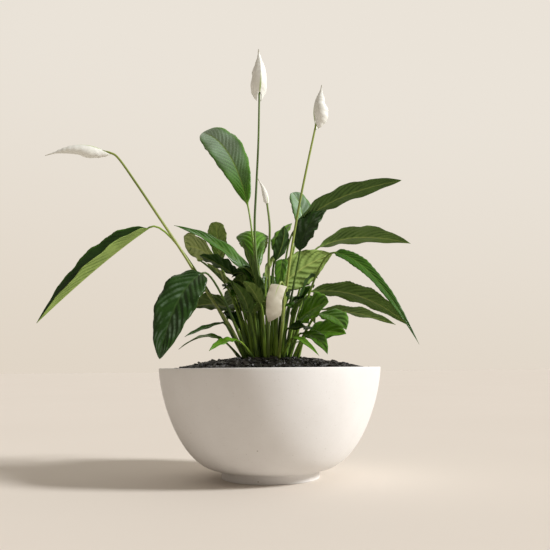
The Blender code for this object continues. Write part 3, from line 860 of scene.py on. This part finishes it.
def build_stalk(name, path):
    sides = 14
    points = []
    maps = []
    last = len(path) - 1
    guide = Vector((0.0, 1.0, 0.0))
    for i, centre in enumerate(path):
        tangent = (path[min(i + 1, last)] - path[max(i - 1, 0)]).normalized()
        side = guide.cross(tangent).normalized()
        normal = tangent.cross(side)
        share = i / last
        radius = STALK_RADIUS * (1.15 - 0.42 * share + 0.20 * ease((share - 0.97) / 0.03))
        for k in range(sides):
            angle = math.tau * k / sides
            rib = 1 + 0.03 * math.cos(5 * angle)
            around = side * math.cos(angle) + normal * math.sin(angle)
            points.append(centre + around * radius * rib)
            maps.append((k / sides, share))
    faces = end_caps(last, sides) + wall_faces(last, sides)
    piece = make_piece("look_stalk_" + name, points, faces, [STALK], "stalk_" + name)
    add_map(piece.data, "leaf", maps)
    add_tones(piece.data, [STALK_TONES[name]] * len(points))


# Half width of a spathe from its joint (0) to its tip (1), as a share of its widest.
SPATHE_OUTLINE = [(0.0, 0.30), (0.05, 0.62), (0.12, 0.90), (0.20, 1.0), (0.30, 0.98), (0.42, 0.88),
                  (0.54, 0.73), (0.64, 0.56), (0.73, 0.38), (0.81, 0.22), (0.90, 0.10), (1.0, 0.03)]
SPENT_OUTLINE = [(0.0, 0.88), (0.03, 0.97), (0.30, 1.0), (0.80, 0.97), (0.94, 0.90), (1.0, 0.80)]


def outline_at(outline, t):
    for (t0, w0), (t1, w1) in zip(outline, outline[1:]):
        if t <= t1:
            return w0 + (w1 - w0) * ease((t - t0) / (t1 - t0))
    return outline[-1][1]


def sheet_relief(share, t, phases, spent):
    """How far a spathe's sheet stands out, as a share of its radius; share is -1 to 1."""
    keel = 1 + 0.10 * max(0.0, 1 - abs(share) / 0.25) ** 2
    curl = 1 + 0.07 * share + 0.10 * abs(share) ** 3 * math.sin(5.0 * t * math.pi + phases[0])
    frill = 0.05 * abs(share) ** 2 * math.sin(9 * math.pi * t + phases[1] + 2 * share)
    crease = 0.03 * math.sin(6 * share + phases[2]) * math.sin(4 * t + phases[3])
    if spent:
        return 1 + (curl - 1) * 0.15 + frill * 0.2
    return keel * curl + frill + crease


def sheet_slip(tangent, share, t, length, name):
    """The shift along a spathe that hangs its lobes, or slants the spent scrap."""
    if name == "spent":
        return tangent * length * (0.07 * share - 0.04 * t)
    lobe = 0.0 if name == "bud" else LOBE_SHARE * length
    return tangent * -lobe * ease(abs(share) * 1.1) * max(0.0, 1 - t / 0.35) ** 2


def build_spathe(name, path, tip, width, wrap, facing):
    """A keeled, curled sheet whose lobes hang a little below its joint with the stalk."""
    rows, columns = 56, 40
    spent = name == "spent"
    along = (path[-1] - path[-2]).normalized()
    base = path[-1] - along * 2 * MM
    tip = place(tip)
    length = (tip - base).length
    middle = base + along * length * 0.5
    facing = Vector(facing)
    outline = SPENT_OUTLINE if spent else SPATHE_OUTLINE
    dice = random.Random("spathe " + name)
    phases = [dice.uniform(0, math.tau) for _ in range(4)]
    points = []
    maps = []
    for row in range(rows + 1):
        t = row / rows
        centre = base * (1 - t) ** 2 + middle * 2 * t * (1 - t) + tip * t * t
        tangent = ((middle - base) * (1 - t) + (tip - middle) * t).normalized()
        back = (facing - tangent * facing.dot(tangent)).normalized()
        side = tangent.cross(back)
        radius = max(0.45 * MM, width * CM / 2 * outline_at(outline, t))
        spread = math.radians(wrap / 2) * (1.05 - 0.30 * t)
        offset = back * -(radius - STALK_RADIUS) * (1 - t) ** 2 * 0.85
        if spent:
            radius = radius / spread
            offset = back * (6 * MM - radius)
        for column in range(columns + 1):
            share = 2 * column / columns - 1
            angle = spread * share
            reach = radius * sheet_relief(share, t, phases, spent)
            slip = sheet_slip(tangent, share, t, length, name)
            points.append(centre + offset + slip
                          + back * reach * math.cos(angle) + side * reach * math.sin(angle))
            maps.append((column / columns, t))
    faces = []
    for row in range(rows):
        for column in range(columns):
            a = row * (columns + 1) + column
            faces.append((a, a + 1, a + columns + 2, a + columns + 1))
    piece = make_piece("look_spathe_" + name, points, faces, [SPENT if spent else SPATHE],
                       "spathe_" + name)
    add_map(piece.data, "leaf", maps)
    shell = piece.modifiers.new("Sheet", "SOLIDIFY")
    shell.thickness = SPATHE_THICKNESS
    shell.offset = 0.0


def build_spadix(name, path):
    """A blunt rod covered in small round florets set in spirals."""
    low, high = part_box("spadix_" + name)
    along = (path[-1] - path[-2]).normalized()
    length = (Vector(high) - Vector(low)).length * 0.94
    radius = 2.6 * MM if name not in ("bud", "spent") else 1.6 * MM
    rows, sides = 72, 36
    side = along.orthogonal().normalized()
    normal = along.cross(side)
    base = path[-1]
    points = []
    for row in range(rows + 1):
        t = row / rows
        body = math.sqrt(max(0.0, 1 - max(0.0, (t - 0.85) / 0.15) ** 2)) * min(1.0, 0.6 + t * 6)
        for k in range(sides):
            angle = math.tau * k / sides
            floret = 0.5 + 0.5 * math.cos(5 * angle + 60 * t) * math.cos(5 * angle - 60 * t)
            reach = radius * max(0.02, body) * (1 + 0.14 * floret)
            points.append(base + along * length * t
                          + (side * math.cos(angle) + normal * math.sin(angle)) * reach)
    faces = end_caps(rows, sides) + wall_faces(rows, sides)
    make_piece("look_spadix_" + name, points, faces, [SPADIX], "spadix_" + name)


def build_flowers():
    for name, route, tip, width, wrap, facing in FLOWERS:
        path = stalk_path(route)
        build_stalk(name, path)
        build_spathe(name, path, tip, width, wrap, facing)
        build_spadix(name, path)


# --- bowl and bedding

def bowl_radius(height):
    """Outside radius of the bowl's wall between its foot and its rim."""
    depth = (RIM_Z - height) / (RIM_Z - FOOT_TOP)
    swell = math.sqrt(1.0 - min(1.0, max(0.0, depth) ** 1.55))
    return BELLY_RADIUS + (RIM_RADIUS - BELLY_RADIUS) * swell


def rounded(corner, start, end, steps=5):
    """A quarter bend from start to end round a corner, as (radius, height) points."""
    points = []
    for i in range(steps + 1):
        t = i / steps
        points.append((start[0] * (1 - t) ** 2 + corner[0] * 2 * t * (1 - t) + end[0] * t * t,
                       start[1] * (1 - t) ** 2 + corner[1] * 2 * t * (1 - t) + end[1] * t * t))
    return points


def bowl_profile():
    """The wall's outline from inside the rim, over it and down to the foot's middle."""
    wall = 7 * MM
    bend = 1.8 * MM
    edge = RIM_RADIUS - wall
    inside = [(edge - 3 * MM, RIM_Z - 30 * MM), (edge, RIM_Z - 12 * MM)]
    rim = rounded((edge, RIM_Z), (edge, RIM_Z - bend), (edge + bend, RIM_Z))
    rim += rounded((RIM_RADIUS, RIM_Z), (RIM_RADIUS - bend, RIM_Z), (RIM_RADIUS, RIM_Z - bend))
    steps = 64
    span = RIM_Z - bend - FOOT_TOP
    side = []
    for i in range(1, steps + 1):
        z = FOOT_TOP + span * (1 - math.sin(math.pi / 2 * i / steps))
        side.append((bowl_radius(z), z))
    neck = rounded((FOOT_RADIUS + 0.6 * MM, FOOT_TOP - 1.0 * MM), side[-1],
                   (FOOT_RADIUS, FOOT_TOP - 4 * MM))
    base = rounded((FOOT_RADIUS, 0.0), (FOOT_RADIUS, 1.6 * MM), (FOOT_RADIUS - 1.6 * MM, 0.0))
    return inside + rim + side + neck[1:] + base + [(FOOT_RADIUS * 0.5, 0.0), (4 * MM, 0.0)]


def build_bowl():
    """The turned wall, very slightly uneven as cast stone is."""
    segments = 256
    profile = bowl_profile()
    points = []
    for radius, height in profile:
        for k in range(segments):
            angle = math.tau * k / segments
            spot = Vector((radius * math.cos(angle), radius * math.sin(angle), height))
            sway = noise.noise(spot * 14.0) * 0.35 * MM if height > 2 * MM else 0.0
            grow = 1 + sway / max(radius, 0.02)
            points.append((spot.x * grow, spot.y * grow, spot.z))
    faces = wall_faces(len(profile) - 1, segments, flip=True)
    last = (len(profile) - 1) * segments
    faces.append(tuple(range(last + segments - 1, last - 1, -1)))
    make_piece("look_bowl", points, faces, [bowl_material()], "planter_bowl")


def build_bed(surface):
    """The lumpy ground that shows between the chips."""
    rings, segments = 44, 120
    edge = RIM_RADIUS - 7.6 * MM
    points = []
    for i in range(rings + 1):
        radius = edge * i / rings
        for k in range(segments):
            angle = math.tau * k / segments
            x, y = radius * math.cos(angle), radius * math.sin(angle)
            bump = noise.noise(Vector((x, y, 0.0)) * 95.0) * 2.2 * MM
            points.append((x, y, mulch_height(radius) - 3 * MM + bump))
    faces = wall_faces(rings, segments, flip=True)
    piece = make_piece("look_bark_bed", points, faces, [surface], "bark_mulch")
    add_tones(piece.data, [(0.0, 0.0, 0.0)] * len(points))


def chip_points(dice, size):
    """A flat splinter of bark: a bent slab with broken, uneven ends."""
    length, width, height = size
    bend = dice.uniform(-0.15, 0.25) * length
    points = []
    for layer in (0, 1):
        for i in range(CHIP_ALONG):
            x = length * (i / 4 - 0.5)
            taper = 1 - 0.45 * abs(i / 2 - 1) ** 2 * dice.uniform(0.6, 1.4)
            arch = bend * (1 - (i / 2 - 1) ** 2) * 0.5
            for j in range(CHIP_ACROSS):
                y = width * (j / 2 - 0.5) * taper + dice.uniform(-0.08, 0.08) * width
                crown = 0.25 * height * (1 if j == 1 else 0) * (1 if layer else -1)
                z = (height * (layer - 0.5)) + crown + arch + dice.uniform(-0.12, 0.12) * height
                points.append(Vector((x + dice.uniform(-0.06, 0.06) * length, y, z)))
    return points


def chip_faces():
    def at(layer, i, j):
        return layer * CHIP_LAYER + i * CHIP_ACROSS + j

    faces = []
    for i in range(CHIP_ALONG - 1):
        for j in range(CHIP_ACROSS - 1):
            faces.append((at(1, i, j), at(1, i + 1, j), at(1, i + 1, j + 1), at(1, i, j + 1)))
            faces.append((at(0, i, j), at(0, i, j + 1), at(0, i + 1, j + 1), at(0, i + 1, j)))
        faces.append((at(0, i, 0), at(0, i + 1, 0), at(1, i + 1, 0), at(1, i, 0)))
        faces.append((at(0, i, 2), at(1, i, 2), at(1, i + 1, 2), at(0, i + 1, 2)))
    for j in range(CHIP_ACROSS - 1):
        faces.append((at(0, 0, j), at(1, 0, j), at(1, 0, j + 1), at(0, 0, j + 1)))
        faces.append((at(0, 4, j), at(0, 4, j + 1), at(1, 4, j + 1), at(1, 4, j)))
    return faces


def build_chips(surface, group):
    """One group of loose chips, strewn over the mulch and tipped with its slope."""
    dice = random.Random(CHIP_SEED + group)
    template = chip_faces()
    points = []
    faces = []
    tones = []
    edge = RIM_RADIUS - 7.5 * MM
    for _ in range(CHIPS_IN_GROUP):
        length = dice.uniform(6, 17) * MM
        size = (length, length * dice.uniform(0.28, 0.55), dice.uniform(1.4, 3.0) * MM)
        radius = (edge - length * 0.55) * math.sqrt(dice.random())
        angle = dice.uniform(0, math.tau)
        x, y = radius * math.cos(angle), radius * math.sin(angle)
        slope = math.atan(2 * MULCH_RISE * radius / MULCH_RADIUS ** 2)
        turn = (Matrix.Translation((x, y, mulch_height(radius) + dice.uniform(-3.0, 1.0) * MM))
                @ Matrix.Rotation(angle, 4, "Z") @ Matrix.Rotation(slope, 4, "Y")
                @ Matrix.Rotation(dice.uniform(0, math.tau), 4, "Z")
                @ Matrix.Rotation(dice.gauss(0, 0.24), 4, "Y")
                @ Matrix.Rotation(dice.gauss(0, 0.28), 4, "X"))
        start = len(points)
        points += [turn @ point for point in chip_points(dice, size)]
        faces += [tuple(start + v for v in face) for face in template]
        light = dice.random() ** 2
        tones += [(light, light, light)] * (2 * CHIP_LAYER)
    piece = make_piece(f"look_bark_chips_{group}", points, faces, [surface], None)
    add_tones(piece.data, tones)
    piece.data.shade_flat()


def build_planter():
    build_bowl()
    bark = bark_material()
    build_bed(bark)
    for group in range(CHIP_GROUPS):
        build_chips(bark, group)
    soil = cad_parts["potting_soil"]
    soil.data.materials.clear()
    soil.data.materials.append(soil_material())


# --- camera, light, floor

CAMERA_AT = (0.0096, -1.17, 0.171)
CAMERA_PITCH = 7.24
CAMERA_ROLL = 0.5
LENS = 47.6
FLOOR_REACH = 30.0
SUN_AZIMUTH = 74.0
SUN_ELEVATION = 31.0
SUN_ENERGY = 3.6
SUN_SPREAD = 0.20


def build_camera():
    data = bpy.data.cameras.new("camera")
    data.lens = LENS
    data.sensor_width = 36.0
    camera = add_object("camera", data)
    turn = Matrix.Rotation(math.radians(90 + CAMERA_PITCH), 4, "X")
    roll = Matrix.Rotation(math.radians(-CAMERA_ROLL), 4, "Z")
    camera.matrix_world = Matrix.Translation(CAMERA_AT) @ turn @ roll
    bpy.context.scene.camera = camera


def build_floor():
    made, tree, shader = new_material("floor_pale")
    soft = ramp(tree, grain(tree, 1.5, 2.0), 0.2, 0.8)
    base = mix(tree, soft, (0.700, 0.640, 0.570), (0.715, 0.655, 0.585))
    painted(tree, shader, base, 0.8)
    mesh = bpy.data.meshes.new("floor")
    edge = FLOOR_REACH
    corners = [(-edge, -edge, 0), (edge, -edge, 0), (edge, edge, 0), (-edge, edge, 0)]
    mesh.from_pydata(corners, [], [(0, 1, 2, 3)])
    mesh.materials.append(made)
    floor = add_object("floor", mesh)


def build_light():
    """One soft key light from the right, a little in front of the plant."""
    data = bpy.data.lights.new("key", "SUN")
    data.energy = SUN_ENERGY
    data.angle = SUN_SPREAD
    data.color = (0.985, 0.990, 1.0)
    key = add_object("key", data)
    turn = math.radians(SUN_AZIMUTH)
    rise = math.radians(SUN_ELEVATION)
    level = math.cos(rise)
    towards = Vector((math.sin(turn) * level, -math.cos(turn) * level, math.sin(rise)))
    key.rotation_mode = "QUATERNION"
    key.rotation_quaternion = towards.to_track_quat("Z", "Y")
    key.location = towards * 3.0


def build_world():
    """Pale backdrop behind the plant, dimmer room on the camera's side."""
    world = bpy.data.worlds.new("studio")
    bpy.context.scene.world = world
    world.use_nodes = True
    tree = world.node_tree
    direction = tree.nodes.new("ShaderNodeTexCoord")
    split = tree.nodes.new("ShaderNodeSeparateXYZ")
    tree.links.new(direction.outputs["Generated"], split.inputs[0])
    right, back, up = split.outputs
    glow = ramp(tree, line(tree, right, 0.45, back), -0.35, 0.75)
    sweep = line(tree, right, 0.15, up)
    warm = (0.742, 0.658, 0.555)
    pale = mix(tree, ramp(tree, sweep, -0.15, 0.42), warm, (0.825, 0.768, 0.688))
    shade = mix(tree, glow, (0.28, 0.250, 0.220), pale)
    tree.links.new(shade, tree.nodes["Background"].inputs["Color"])
    bpy.context.scene.view_settings.view_transform = "Standard"


build_camera()
build_floor()
build_light()
build_world()
build_planter()
build_leaves()
build_young_leaves()
build_flowers()
